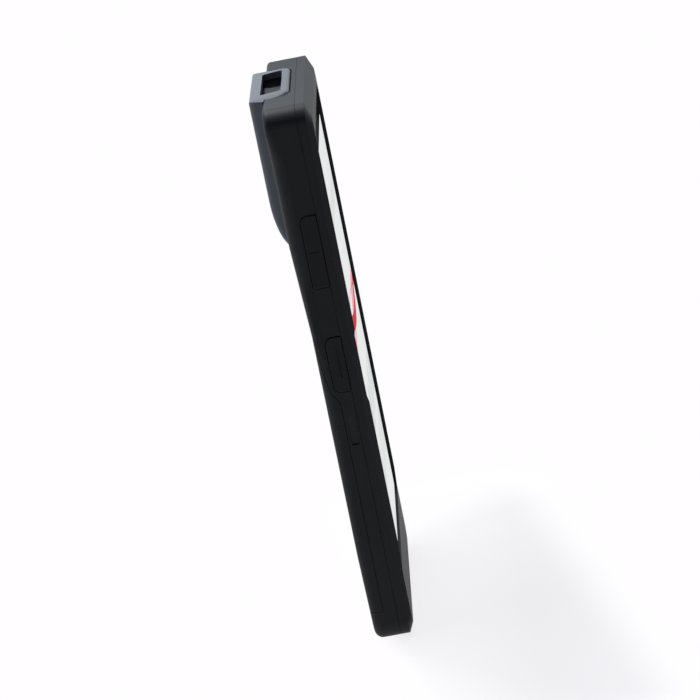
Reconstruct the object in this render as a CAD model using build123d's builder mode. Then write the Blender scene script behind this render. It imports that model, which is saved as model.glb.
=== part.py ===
from build123d import *
import os

# Portable barcode data terminal, in millimetres. X runs across the screen, Z up the long
# axis and Y from the screen to the back, so the screen faces -Y. The origin is on the flat
# bottom end, at the middle of the overall width and depth. A name that ends in _down is a
# distance down from the top end, and one that ends in _in a distance in from a named side.

os.makedirs("parts", exist_ok=True)

# ---- outer shape ----
body_w = 75.5
body_l = 158.0
corner_r = 5.3
rim_y = -8.8
seam_y = -4.6
grip_y = 3.35
head_y = 4.55
seam_bevel = 0.1
side_bevel = 1.2
bevel_depth = 1.7
top_bevel = 4.1
bottom_bevel = 4.0
rim_corner_r = 3.6
grip_round = 2.4
head_round = 3.5
head_end_round = 1.3
tail_high = 27.0
tail_taper = 0.5
ramp_low_down = 65.0
ramp_high_down = 39.0
round_low_down = 15.0
round_high_down = 6.0

# ---- walls and clearances ----
side_wall = 1.65
end_wall = 1.8
back_wall = 1.4
slip = 0.1
fit_gap = 0.2
overcut = 1.0
flat_end = 0.05

# ---- glass and display stack, front to back ----
glass_drop = 1.0
glass_t = 0.7
glass_side_in = 1.75
glass_low = 20.3
glass_down = 9.0
glass_corner_r = 3.0
glass_chamfer = 0.2
adhesive_t = 0.2
ledge_t = 1.2
panel_side_in = 1.05
panel_low_in = 1.0
panel_high_in = 7.5
panel_t = 1.2
panel_opening_r = 0.6
bond_t = 0.1
chassis_t = 0.8
mesh_w = 11.0
mesh_h = 1.1
mesh_down = 11.4
earpiece_w = 12.0
earpiece_h = 4.6
earpiece_down = 12.4
front_camera_x = 14.5
front_camera_side = 5.0
barrel_share = 0.6
front_camera_down = 12.6

# ---- chin below the glass, a little deeper than the rim ----
chin_high = 26.0
chin_run = 6.0
chin_depth = 0.3

# ---- finger scallops in the rim: the left one is deeper ----
scallop_low_down = 86.5
scallop_high_down = 64.7
scallop_depth = 0.37
scallop_run = 2.0
facet_low_down = 77.7
facet_high_down = 61.5
facet_depth = 0.35
facet_w = 0.5

# ---- boards ----
board_t = 0.8
board_y = -4.0
board_corner_r = 1.0
board_side_gap = 0.6
main_board_down = 6.0
main_board_l = 53.0
bottom_board_in = 3.1
bottom_board_end_gap = 0.4
bottom_board_l = 11.0
standoff_d = 4.0
flex_t = 0.15
flex_w = 8.0
flex_x = -8.0
flex_lap = 4.0

# ---- battery bay, battery and cover ----
screw_in = 2.5
bay_side = 3.3
bay_low = 15.6
bay_down = 68.4
bay_floor = -3.0
bay_floor_t = 0.8
bay_corner_r = 1.5
battery_gap = 0.35
battery_t = 4.65
battery_edge_r = 1.0
antenna_side_in = 7.0
antenna_low_in = 14.0
antenna_high_in = 20.0
sheet_corner_r = 2.0
tab_w = 12.0
tab_l = 10.5
tab_side_in = 6.25
tab_in = 1.5
pad_w = 1.8
pad_h = 2.0
pad_pitch = 2.6
pad_count = 3
pad_t = 0.15
connector_w = 10.0
connector_back = 0.6
connector_reach = 3.0
spring_in = 0.3
spring_l = 3.7
cover_t = 1.2
cover_gap = 0.15
cover_low = 9.4
cover_side_y = -0.9
cover_turn_low_down = 84.7
cover_turn_high_down = 81.4
cover_turn_y = 1.3
cover_turn_r = 2.6
cover_edge_y = 2.3
cover_edge_down = 74.8
cover_top_y = 2.75
core_drop = 0.2
seal_in = 0.4
seal_w = 0.7
seal_t = 0.8

# ---- pry scoops and finger recess in the sides ----
pry_low_down = 97.65
pry_high_down = 89.2
pry_front = -3.85
pry_back = -1.75
pry_depth = 0.45
grip_recess_low_down = 72.0
grip_recess_high_down = 50.5
grip_recess_run = 6.0
grip_recess_depth = 0.4
grip_recess_gap = 0.15

# ---- side keys ----
key_high_y = 0.05
key_gap = 0.2
key_proud = 0.3
key_round = 2.0
key_front_r = 0.5
key_edge_r = 0.28
key_flange_t = 0.8
key_flange_side = 0.5
key_flange_gap = 0.3
key_flange_end = 1.0
key_nub_d = 2.2
key_nub_h = 0.3
key_travel = 0.35
key_pocket_gap = 0.75
rocker_travel = 0.2
rocker_arm = 6.0
rocker_flange = 9.0
rocker_stop_gap = 0.3
volume_down = 30.3
volume_l = 20.8
volume_foot_r = 0.9
groove_w = 0.4
groove_depth = 0.2
groove_side_in = 0.9
scan_key_down = 65.6
scan_key_l = 16.1
dish_w = 0.5
dish_depth = 0.25
dish_front_in = 1.5
dish_low_in = 4.4
dish_high_in = 2.3
power_down = 34.0
power_l = 12.0
dome_d = 4.0
dome_h = 0.35
key_board_t = 0.6
key_board_end = 1.3

# ---- scanner head ----
bump_y = 8.5
bump_base_half = 21.0
bump_taper = 1.4
bump_round = 2.2
bump_down = 43.1
bump_curve = 14.2
bump_foot = 1.0
bump_wall = 1.3
foot_wall = 1.2
foot_in = 2.1
foot_up = 6.3
foot_corner_r = 1.5
foot_front_in = 0.3
foot_back_up = 1.6
foot_lap = 0.4
frame_proud = 0.7
frame_side_in = 1.2
frame_front_y = -2.95
frame_round = 5.5
frame_edge_r = 0.9
frame_crest_y = -0.7
frame_front_drop = 0.25
frame_back_drop = 0.6
frame_back_round = 0.9
frame_end_in = 5.4
frame_end_drop = 0.9
frame_down = 8.0
frame_gap = 0.35
window_open_w = 28.5
window_open_low_y = -0.7
window_open_high_y = 5.3
window_open_r = 0.9
window_depth = 2.0
window_lip = 0.5
gasket_t = 0.4
window_t = 1.0
engine_w = 21.6
engine_low_y = -1.1
engine_t = 6.8
engine_down = 17.5
engine_l = 12.0
engine_corner_r = 0.5
engine_eye_in = 0.4
engine_eye_h = 1.6
engine_eye_gap = 1.8
lens_d = 4.8
lens_sink = 0.3
light_d = 2.6
bracket_t = 0.6
bracket_side = 4.0
bracket_foot_d = 2.4
bracket_arm = 5.0
bracket_foot_side = 1.8
bracket_foot_in = 1.5
engine_flex_w = 10.0
engine_flex_drop = 2.5

# ---- rear camera and flash ----
camera_x = -9.0
camera_down = 25.0
camera_side = 8.6
camera_t = 3.9
camera_nose_h = 1.1
camera_foot_share = 0.7
camera_ring_d = 10.4
camera_ring_proud = 0.3
camera_ring_chamfer = 0.2
camera_window_d = 8.0
camera_seat_t = 1.1
camera_seat_lip = 0.5
flash_x = 9.0
flash_d = 5.0
flash_flange = 0.4
led_side = 4.0
led_t = 1.2

# ---- screws ----
screw_d = 1.6
screw_head_d = 2.8
screw_head_h = 0.6
screw_slip = 0.05
long_screw_d = 1.8
long_head_d = 3.2
long_head_h = 1.0
drive_share = 0.6
drive_depth = 0.6
screw_low = 20.0
screw_high_down = 90.0
head_screw_in = 3.4
head_screw_down = 10.5
head_boss_wall = 0.7
head_counterbore = 1.9
counterbore_y = -0.5
chassis_screw_in = 9.1
chassis_screw_end = 5.4
chassis_screw_skin = 1.3
main_screw_in = 2.9
main_screw_end = 3.0
frame_screw_gap = 1.2
bottom_screw_in = 2.5
bottom_screw_up = 6.0
board_hole_ring = 1.0

# ---- main board: a can is (middle across, width, height above the board's lower end, its
# chips), and a chip is (middle across, width, low and high end as shares of the can) ----
can_t = 1.7
can_wall = 0.25
can_flex_gap = 1.0
chip_t = 1.0
cans = [(-16.0, 24.0, 8.0, [(-20.0, 12.0, 0.53, 0.94), (-16.0, 9.0, 0.08, 0.38)]),
        (16.0, 24.0, 9.5, [(13.0, 11.0, 0.44, 0.90), (19.5, 7.0, 0.06, 0.31),
                           (9.5, 6.0, 0.08, 0.29)])]
card_x = 16.0
card_w = 15.0
card_t = 1.5
card_wall = 0.4
card_side_wall = 1.0
card_l = 10.0
card_lap = 6.0

# ---- bottom end ----
usb_w = 9.0
usb_t = 3.2
usb_l = 7.4
usb_wall = 0.3
usb_sink = 0.6
usb_back_wall = 1.0
tongue_side = 1.2
tongue_t = 0.7
tongue_sink = 0.8
port_round = 1.4
slot_w = 1.1
slot_count = 6
slot_in = 2.0
slot_h = 3.6
mic_x = -14.0
contact_w = 1.6
contact_t = 2.6
contact_pitch = 3.2
contact_count = 4
contact_in = 2.0
contact_sink = 0.1
contact_lap = 1.4
bottom_bay_step = 0.7
speaker_near_x = 12.0
speaker_screw_gap = 1.1
speaker_t = 4.1
speaker_end_gap = 0.6
speaker_top_gap = 2.0
speaker_corner_r = 0.8
speaker_notch = 1.6
speaker_notch_up = 4.2
speaker_notch_l = 1.8
speaker_mesh_t = 0.3
motor_x = -13.0
motor_d = 8.0
motor_t = 2.7
motor_up = 5.8
mic_w = 3.2
mic_t = 2.2
mic_l = 1.0

# ---- derived faces and places shared by several pieces ----
half_w = body_w / 2
inner_half = half_w - side_wall
inner_high = body_l - end_wall
ramp_low = body_l - ramp_low_down
ramp_high = body_l - ramp_high_down
round_change_low = body_l - round_low_down
round_change_high = body_l - round_high_down
glass_w = body_w - 2 * glass_side_in
glass_high = body_l - glass_down
glass_back = rim_y + glass_drop + glass_t
ledge_y = glass_back + adhesive_t
panel_w = glass_w - 2 * panel_side_in
panel_y = glass_back + bond_t
panel_low = glass_low + panel_low_in
panel_high = glass_high - panel_high_in
chassis_y = ledge_y + ledge_t
chassis_back = chassis_y + chassis_t
earpiece_z = body_l - earpiece_down
front_camera_z = body_l - front_camera_down
mesh_z = body_l - mesh_down
head_inner_y = head_y - back_wall
core_y = grip_y - cover_t - core_drop
core_half = half_w - cover_t - cover_gap
screw_x = core_half - screw_in
screw_high = body_l - screw_high_down
bay_w = 2 * (screw_x - bay_side)
bay_high = body_l - bay_down
cover_turn_low = body_l - cover_turn_low_down
cover_turn_high = body_l - cover_turn_high_down
cover_edge_z = body_l - cover_edge_down
seal_half = bay_w / 2 + seal_in
seal_out_half = seal_half + seal_w
seal_low = bay_low - seal_in
seal_high = bay_high + seal_in
key_low_y = seam_y + slip
key_mid_y = (key_low_y + key_high_y) / 2
key_flange_x = inner_half - slip
key_flange_low_y = chassis_back + key_flange_gap
key_inner_x = key_flange_x - key_flange_t
dome_top_x = key_inner_x - key_nub_h - key_travel - slip
key_board_x = dome_top_x - dome_h
pocket_x = key_board_x - key_board_t
pocket_y = key_high_y + key_flange_side + key_pocket_gap
volume_high = body_l - volume_down
volume_low = volume_high - volume_l
volume_mid = (volume_low + volume_high) / 2
scan_key_high = body_l - scan_key_down
scan_key_low = scan_key_high - scan_key_l
scan_key_mid = (scan_key_low + scan_key_high) / 2
power_high = body_l - power_down
power_low = power_high - power_l
power_mid = (power_low + power_high) / 2
key_board_low = scan_key_low - key_board_end
key_board_high = volume_high + key_board_end
board_back = board_y + board_t
main_board_w = 2 * (pocket_x - board_side_gap)
main_board_high = body_l - main_board_down
main_board_low = main_board_high - main_board_l
cavity_low = main_board_low - overcut
bottom_board_w = 2 * (inner_half - bottom_board_in)
bottom_board_low = end_wall + bottom_board_end_gap
bottom_board_high = bottom_board_low + bottom_board_l
bump_back_half = bump_base_half - bump_taper
bump_low = body_l - bump_down
bump_in_y = bump_y - bump_wall
camera_seat_y = bump_y - camera_seat_t
frame_top = body_l + frame_proud
frame_half = bump_base_half - frame_side_in
frame_low = body_l - frame_down
foot_half = bump_base_half - bump_wall - foot_in
foot_low = bump_low + foot_up
engine_low = body_l - engine_down
camera_z = body_l - camera_down
head_screw_x = main_board_w / 2 - head_screw_in
head_screw_z = body_l - head_screw_down
head_counterbore_y = head_y - head_counterbore
chassis_screw_x = inner_half - chassis_screw_in
chassis_screw_places = [chassis_screw_end, body_l - chassis_screw_end]


def slab(width, low, high, front, back, radius=0.0, x=0.0, mode=Mode.ADD):
    """Upright plate: width across X, low to high up Z, front to back along Y."""
    with BuildSketch(Plane.XZ.offset(-front)) as face:
        with Locations((x, (low + high) / 2)):
            if radius > 0:
                RectangleRounded(width, high - low, radius)
            else:
                Rectangle(width, high - low)
    extrude(face.sketch, amount=front - back, mode=mode)


def peg(x, z, diameter, front, back, mode=Mode.ADD):
    """Round pin or hole along Y, from front to back."""
    with BuildSketch(Plane.XZ.offset(-front)) as face:
        with Locations((x, z)):
            Circle(diameter / 2)
    extrude(face.sketch, amount=front - back, mode=mode)


def block(width, low_y, high_y, low, high, radius=0.0, x=0.0, mode=Mode.ADD):
    """Upright column: width across X, low_y to high_y along Y, low to high up Z."""
    with BuildSketch(Plane.XY.offset(low)) as base:
        with Locations((x, (low_y + high_y) / 2)):
            if radius > 0:
                RectangleRounded(width, high_y - low_y, radius)
            else:
                Rectangle(width, high_y - low_y)
    extrude(base.sketch, amount=high - low, mode=mode)


def side_plate(side, near_x, far_x, low_y, high_y, low, high, radius=0.0, foot_r=0.0,
               front_r=0.0, mode=Mode.ADD):
    """Plate on the left (-1) or right (1) wall, near_x to far_x outwards. Its corners have
    the radius, or foot_r at its lower end and front_r on its front where those are given."""
    with BuildSketch(Plane.YZ.offset(side * near_x)) as face:
        with Locations(((low_y + high_y) / 2, (low + high) / 2)):
            Rectangle(high_y - low_y, high - low)
        if radius > 0:
            for end, end_r in ((-1, radius), (0, foot_r or radius)):
                for edge, corner in ((0, front_r or end_r), (-1, end_r)):
                    ends = face.vertices().group_by(Axis.Y)[end]
                    fillet(ends.sort_by(Axis.X)[edge], corner)
    extrude(face.sketch, amount=side * (far_x - near_x), mode=mode)


def back_section(z, back, rounding, width):
    """Cross-section of the rear half at a height, with its two back corners rounded."""
    with BuildSketch(Plane.XY.offset(z)) as section:
        with Locations((0, (seam_y + back) / 2)):
            Rectangle(width, back - seam_y)
        fillet(section.vertices().group_by(Axis.Y)[-1], rounding)
    return section.sketch


def rear_form(inset):
    """Rear half of the body, drawn in by an inset, from the seam plane to the back."""
    width = body_w - 2 * inset
    low = inset
    high = body_l - inset
    with BuildPart() as grip:
        slab(width, low, high, seam_y, grip_y - inset, corner_r - inset)
        with BuildSketch(Plane.YZ) as tail:
            with BuildLine():
                Polyline(
                    (grip_y - inset, tail_high),
                    (grip_y - inset - tail_taper, 0),
                    (grip_y - inset - tail_taper, -overcut),
                    (bump_y, -overcut),
                    (bump_y, tail_high),
                    close=True,
                )
            make_face()
        extrude(tail.sketch, amount=body_w, both=True, mode=Mode.SUBTRACT)
        back_edges = grip.edges().filter_by(
            lambda edge: edge.center().Y > grip_y - inset - tail_taper - slip
            and abs(edge.center().Z - tail_high) > slip
        )
        fillet(back_edges, grip_round - inset / 2)
        split(bisect_by=Plane.XY.offset(ramp_low), keep=Keep.BOTTOM)
    with BuildPart() as end:
        slab(width, low, high, seam_y, head_y - inset, corner_r - inset)
        fillet(end.faces().sort_by(Axis.Y)[-1].outer_wire().edges(), head_end_round)
        split(bisect_by=Plane.XY.offset(round_change_high), keep=Keep.TOP)
    sections = [
        back_section(ramp_low, grip_y - inset, grip_round - inset / 2, width),
        back_section(ramp_high, head_y - inset, head_round - inset / 2, width),
        back_section(round_change_low, head_y - inset, head_round - inset / 2, width),
        back_section(round_change_high, head_y - inset, head_end_round, width),
    ]
    with BuildPart() as form:
        loft(sections=sections, ruled=True)
        add(grip.part)
        add(end.part)
    return form.part


def bump_form(inset):
    """Scanner bump, drawn in by an inset, from inside the body to its own back."""
    back = bump_y - inset
    with BuildPart() as form:
        with BuildSketch(Plane.XY.offset(bump_low + inset)):
            with BuildLine():
                Polyline(
                    (-bump_base_half + inset, seam_y),
                    (-bump_base_half + inset, head_y),
                    (-bump_back_half + inset, back),
                    (bump_back_half - inset, back),
                    (bump_base_half - inset, head_y),
                    (bump_base_half - inset, seam_y),
                    close=True,
                )
            make_face()
        extrude(amount=frame_top - bump_low - 2 * inset)
        with BuildSketch(Plane.YZ):
            with BuildLine():
                knee = bump_low + bump_curve
                base = head_y - bump_foot
                EllipticalCenterArc(
                    (base, knee), back - base, bump_curve - inset, start_angle=-90, arc_size=90
                )
                Polyline(
                    (back, knee),
                    (back, frame_top - inset),
                    (base, frame_top - inset),
                    (base, bump_low + inset),
                )
            make_face()
        extrude(amount=body_w, both=True, mode=Mode.INTERSECT)
        side_edges = form.edges().filter_by(
            lambda edge: edge.center().Y > head_y + inset
            and abs(edge.center().X) > overcut
        )
        shoulders = side_edges.filter_by(lambda edge: edge.bounding_box().size.Z > bump_foot)
        fillet(shoulders, bump_round - inset / 2)
    return form.part


def cover_zone(gap):
    """Side-view region that belongs to the battery cover, drawn in by the gap all round."""
    reach = bump_y + battery_t
    with BuildPart() as zone:
        with BuildSketch(Plane.YZ) as side:
            with BuildLine():
                Polyline(
                    (reach, cover_low),
                    (cover_side_y, cover_low),
                    (cover_side_y, cover_turn_low),
                    (cover_turn_y, cover_turn_high),
                    (cover_edge_y, cover_edge_z),
                    (cover_top_y, ramp_low),
                    (reach, ramp_low),
                    close=True,
                )
            make_face()
            turns = side.vertices().filter_by_position(
                Axis.Y, cover_turn_low - slip, cover_turn_high + slip
            )
            fillet(turns, cover_turn_r)
            if gap > 0:
                offset(amount=-gap, mode=Mode.REPLACE)
        extrude(amount=body_w, both=True)
    return zone.part


body_back = rear_form(0.0)
body_back_clear = rear_form(-fit_gap)

# ---- front housing: moulded frame that carries the glass, with a raised rim and a chin ----
rim_w = body_w - 2 * side_bevel
rim_low = bottom_bevel
rim_high = body_l - top_bevel
bevel_y = rim_y + bevel_depth
pocket_w = glass_w + 2 * slip
opening_w = panel_w + 2 * fit_gap
chassis_screw_tip = rim_y + chassis_screw_skin
scallop_low = body_l - scallop_low_down
scallop_high = body_l - scallop_high_down
facet_low = body_l - facet_low_down
facet_high = body_l - facet_high_down

with BuildPart() as front_housing:
    slab(body_w, 0, body_l, bevel_y, seam_y, corner_r)
    with BuildSketch(Plane.XZ.offset(-bevel_y)) as wide:
        with Locations((0, body_l / 2)):
            RectangleRounded(body_w, body_l, corner_r)
    with BuildSketch(Plane.XZ.offset(-rim_y)) as narrow:
        with Locations((0, (rim_low + rim_high) / 2)):
            RectangleRounded(rim_w, rim_high - rim_low, rim_corner_r)
    loft(sections=[wide.sketch, narrow.sketch], ruled=True)
    chamfer(front_housing.faces().sort_by(Axis.Y)[-1].outer_wire().edges(), seam_bevel)
    slab(2 * inner_half, end_wall, inner_high, chassis_y, seam_y, corner_r - side_wall,
         mode=Mode.SUBTRACT)
    slab(pocket_w, glass_low - slip, glass_high + slip, rim_y, ledge_y, glass_corner_r,
         mode=Mode.SUBTRACT)
    slab(opening_w, panel_low - fit_gap, panel_high + fit_gap, ledge_y, chassis_y,
         panel_opening_r, mode=Mode.SUBTRACT)
    slab(earpiece_w + 2 * fit_gap, earpiece_z - earpiece_h / 2 - fit_gap,
         earpiece_z + earpiece_h / 2 + fit_gap, ledge_y, chassis_y, mode=Mode.SUBTRACT)
    slab(front_camera_side + 2 * fit_gap, front_camera_z - front_camera_side / 2 - fit_gap,
         front_camera_z + front_camera_side / 2 + fit_gap, ledge_y, chassis_y,
         x=front_camera_x, mode=Mode.SUBTRACT)
    for z in chassis_screw_places:
        for side in (-1, 1):
            peg(side * chassis_screw_x, z, screw_d + 2 * screw_slip,
                chassis_screw_tip - slip, chassis_y, mode=Mode.SUBTRACT)
    with BuildSketch(Plane.YZ) as chin:
        with BuildLine():
            Polyline(
                (rim_y - overcut, -overcut),
                (rim_y + chin_depth, -overcut),
                (rim_y + chin_depth, chin_high - chin_run),
                (rim_y, chin_high),
                (rim_y - overcut, chin_high),
                close=True,
            )
        make_face()
    extrude(chin.sketch, amount=body_w, both=True, mode=Mode.SUBTRACT)
    with BuildSketch(Plane.YZ.offset(-body_w)) as scallop:
        with BuildLine():
            Polyline(
                (rim_y - overcut, scallop_low),
                (rim_y, scallop_low),
                (rim_y + scallop_depth, scallop_low + scallop_run),
                (rim_y + scallop_depth, scallop_high - scallop_run),
                (rim_y, scallop_high),
                (rim_y - overcut, scallop_high),
                close=True,
            )
        make_face()
    extrude(scallop.sketch, amount=body_w - glass_w / 2, mode=Mode.SUBTRACT)
    with BuildSketch(Plane.XY.offset(facet_low)) as facet:
        with BuildLine():
            Polyline(
                (glass_w / 2, rim_y - overcut),
                (glass_w / 2, rim_y + facet_depth),
                (glass_w / 2 + facet_w, rim_y),
                (glass_w / 2 + facet_w, rim_y - overcut),
                close=True,
            )
        make_face()
    extrude(facet.sketch, amount=facet_high - facet_low, mode=Mode.SUBTRACT)

# ---- rear housing: moulded back shell with the battery bay, key slots and head ----
pry_low = body_l - pry_low_down
pry_high = body_l - pry_high_down
grip_recess_y = key_high_y + key_gap + grip_recess_gap
grip_recess_low = body_l - grip_recess_low_down
grip_recess_high = body_l - grip_recess_high_down
bottom_in_y = core_y - bottom_bay_step
usb_y = board_back + usb_t / 2
speaker_far_x = (bottom_board_w / 2 - bottom_screw_in - screw_head_d / 2
                 - speaker_screw_gap)
speaker_w = speaker_far_x - speaker_near_x
speaker_x = (speaker_near_x + speaker_far_x) / 2
slot_pitch = (speaker_w - 2 * slot_in) / (slot_count - 1)
contact_x = contact_in - bottom_board_w / 2
opening_half = foot_half + fit_gap
opening_low = foot_low - fit_gap
head_boss_d = standoff_d + 2 * head_boss_wall
key_slots = [(-1, volume_low, volume_high, volume_foot_r),
             (-1, scan_key_low, scan_key_high, key_round),
             (1, power_low, power_high, key_round),
             (1, scan_key_low, scan_key_high, key_round)]
with BuildPart() as rear_housing:
    add(body_back)
    chamfer(rear_housing.faces().sort_by(Axis.Y)[0].outer_wire().edges(), seam_bevel)
    add(cover_zone(0.0), mode=Mode.SUBTRACT)
    slab(2 * core_half, cover_low - overcut, ramp_low + overcut, seam_y, core_y)
    # head cavity and the pockets beside the bay for the key switch boards
    with BuildSketch(Plane.XY.offset(cavity_low)) as cavity:
        with Locations((0, (seam_y + head_inner_y) / 2)):
            Rectangle(2 * inner_half, head_inner_y - seam_y)
        fillet(cavity.vertices().group_by(Axis.Y)[-1], head_round - back_wall / 2)
    extrude(cavity.sketch, amount=inner_high - cavity_low, mode=Mode.SUBTRACT)
    for side in (-1, 1):
        side_plate(side, pocket_x, inner_half, seam_y, pocket_y, key_board_low - fit_gap,
                   cavity_low, mode=Mode.SUBTRACT)
    # battery bay and the shallow space under its floor
    slab(bay_w, bay_low, bay_high, bay_floor, grip_y, bay_corner_r, mode=Mode.SUBTRACT)
    slab(bay_w, bottom_board_high, main_board_low, seam_y, bay_floor - bay_floor_t,
         mode=Mode.SUBTRACT)
    # bottom bay
    slab(bottom_board_w + 2 * fit_gap, end_wall, bottom_board_high + fit_gap, seam_y,
         bottom_in_y, board_corner_r, mode=Mode.SUBTRACT)
    # seal groove round the bay
    slab(2 * seal_out_half, seal_low - seal_w, seal_high + seal_w, core_y - seal_t, grip_y,
         bay_corner_r + seal_in + seal_w, mode=Mode.SUBTRACT)
    slab(2 * seal_half, seal_low, seal_high, core_y - seal_t, core_y, bay_corner_r + seal_in)
    slab(bay_w, bay_low, bay_high, bay_floor, grip_y, bay_corner_r, mode=Mode.SUBTRACT)
    # openings between the bay and the head for the battery connector and the cards
    block(connector_w + 2 * slip, board_back - slip, connector_back + slip,
          bay_high - overcut, main_board_low, mode=Mode.SUBTRACT)
    block(card_w + 2 * slip, board_back - slip, board_back + card_t + slip,
          bay_high - overcut, main_board_low, x=card_x, mode=Mode.SUBTRACT)
    # key slots
    for side, low, high, foot_r in key_slots:
        side_plate(side, key_board_x, half_w + overcut, key_low_y - key_gap,
                   key_high_y + key_gap, low - key_gap, high + key_gap, key_round + key_gap,
                   foot_r + key_gap, key_front_r + key_gap, mode=Mode.SUBTRACT)
    # scanner opening in the back and the notch in the top end for the window frame
    slab(2 * opening_half, opening_low, inner_high, head_inner_y - overcut, bump_y,
         mode=Mode.SUBTRACT)
    block(2 * (frame_half + frame_gap), frame_front_y - frame_gap, bump_y,
          frame_low - frame_gap, frame_top + overcut, frame_round + frame_gap,
          mode=Mode.SUBTRACT)
    block(2 * (frame_half + frame_gap), head_inner_y - overcut, bump_y,
          frame_low - frame_gap, frame_top + overcut, mode=Mode.SUBTRACT)
    # screw bosses in the head, and screw holes
    for side in (-1, 1):
        peg(side * head_screw_x, head_screw_z, head_boss_d, seam_y, head_inner_y + fit_gap)
        peg(side * head_screw_x, head_screw_z, long_head_d + 4 * slip, head_counterbore_y,
            bump_y, mode=Mode.SUBTRACT)
        peg(side * head_screw_x, head_screw_z, long_screw_d + 2 * screw_slip, seam_y,
            head_y, mode=Mode.SUBTRACT)
        for z in (screw_low, screw_high):
            peg(side * screw_x, z, long_head_d + 2 * slip, counterbore_y, grip_y,
                mode=Mode.SUBTRACT)
            peg(side * screw_x, z, long_screw_d + 2 * screw_slip, seam_y, grip_y,
                mode=Mode.SUBTRACT)
    # pry scoops beside the cover, deepest at their lower end
    for side in (-1, 1):
        with BuildSketch(Plane.XZ.offset(-pry_front)) as scoop:
            with BuildLine():
                Polyline(
                    (side * (half_w + overcut), pry_low),
                    (side * (half_w - pry_depth), pry_low),
                    (side * half_w, pry_high),
                    (side * (half_w + overcut), pry_high),
                    close=True,
                )
            make_face()
        extrude(scoop.sketch, amount=pry_front - pry_back, mode=Mode.SUBTRACT)
    # shallow finger recess behind the scan keys, with a step at its upper end
    for side in (-1, 1):
        with BuildSketch(Plane.XZ.offset(-grip_recess_y)) as recess:
            with BuildLine():
                Polyline(
                    (side * (half_w + overcut), grip_recess_low),
                    (side * half_w, grip_recess_low),
                    (side * (half_w - grip_recess_depth), grip_recess_low + grip_recess_run),
                    (side * (half_w - grip_recess_depth), grip_recess_high),
                    (side * (half_w + overcut), grip_recess_high),
                    close=True,
                )
            make_face()
        extrude(recess.sketch, amount=grip_recess_y - bump_y, mode=Mode.SUBTRACT)
    # bottom end: data port, speaker slots, microphone hole and charging contacts
    block(usb_w + 2 * fit_gap, usb_y - usb_t / 2 - fit_gap, usb_y + usb_t / 2 + fit_gap, 0,
          end_wall, port_round, mode=Mode.SUBTRACT)
    with BuildSketch(Plane.XY) as slots:
        with Locations((speaker_x, usb_y)):
            with GridLocations(slot_pitch, 1, slot_count, 1):
                SlotOverall(slot_h, slot_w, rotation=90)
        with Locations((mic_x, usb_y)):
            Circle(slot_w / 2)
    extrude(slots.sketch, amount=end_wall, mode=Mode.SUBTRACT)
    for i in range(contact_count):
        block(contact_w + 2 * slip, board_back, board_back + contact_t + slip, 0, end_wall,
              x=contact_x + i * contact_pitch, mode=Mode.SUBTRACT)

# ---- scanner cover: slate-grey moulding over the scanner, with the window frame ----
window_y = (window_open_low_y + window_open_high_y) / 2
window_open_t = window_open_high_y - window_open_low_y
window_w = window_open_w + 2 * window_lip
window_h = window_open_t + 2 * window_lip
window_seat = frame_top - window_depth
foot_front_y = head_inner_y - foot_front_in
foot_back_y = head_y + foot_back_up
# what is cut off above the low dome of the frame: its crest runs along the window's front
with BuildPart() as frame_slopes:
    with BuildSketch(Plane.YZ) as slopes:
        with BuildLine():
            Polyline(
                (frame_front_y, frame_top - frame_front_drop),
                (frame_crest_y, frame_top),
                (bump_y, frame_top - frame_back_drop),
                (bump_y, frame_low),
                (bump_y + overcut, frame_low),
                (bump_y + overcut, frame_top + overcut),
                (frame_front_y, frame_top + overcut),
                close=True,
            )
        make_face()
        back_edge = slopes.vertices().filter_by_position(
            Axis.Y, frame_top - frame_back_drop - slip, frame_top - frame_back_drop + slip
        )
        fillet(back_edge, frame_back_round)
    extrude(slopes.sketch, amount=body_w, both=True)
    for side in (-1, 1):
        with BuildSketch(Plane.XZ.offset(-frame_front_y)) as flank:
            with BuildLine():
                Polyline(
                    (side * (bump_base_half - frame_end_in), frame_top),
                    (side * bump_base_half, frame_top - frame_end_drop),
                    (side * bump_base_half, frame_top + overcut),
                    (side * (bump_base_half - frame_end_in), frame_top + overcut),
                    close=True,
                )
            make_face()
        extrude(flank.sketch, amount=frame_front_y - bump_y)

with BuildPart() as window_frame:
    with BuildSketch(Plane.XY.offset(frame_low)) as base:
        with Locations((0, (frame_front_y + bump_in_y + fit_gap) / 2)):
            Rectangle(2 * frame_half, bump_in_y + fit_gap - frame_front_y)
        fillet(base.vertices().group_by(Axis.Y)[0], frame_round)
    extrude(amount=frame_top - frame_low)
    add(frame_slopes.part, mode=Mode.SUBTRACT)
    tops = window_frame.faces().filter_by(lambda face: face.normal_at(face.center()).Z > 0.9)
    rims = [edge for face in tops for edge in face.edges()]
    outline = [
        edge for edge in rims
        if sum(edge.is_same(other) for other in rims) == 1 and edge.center().Y < bump_in_y
    ]
    fillet(outline, frame_edge_r)

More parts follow.
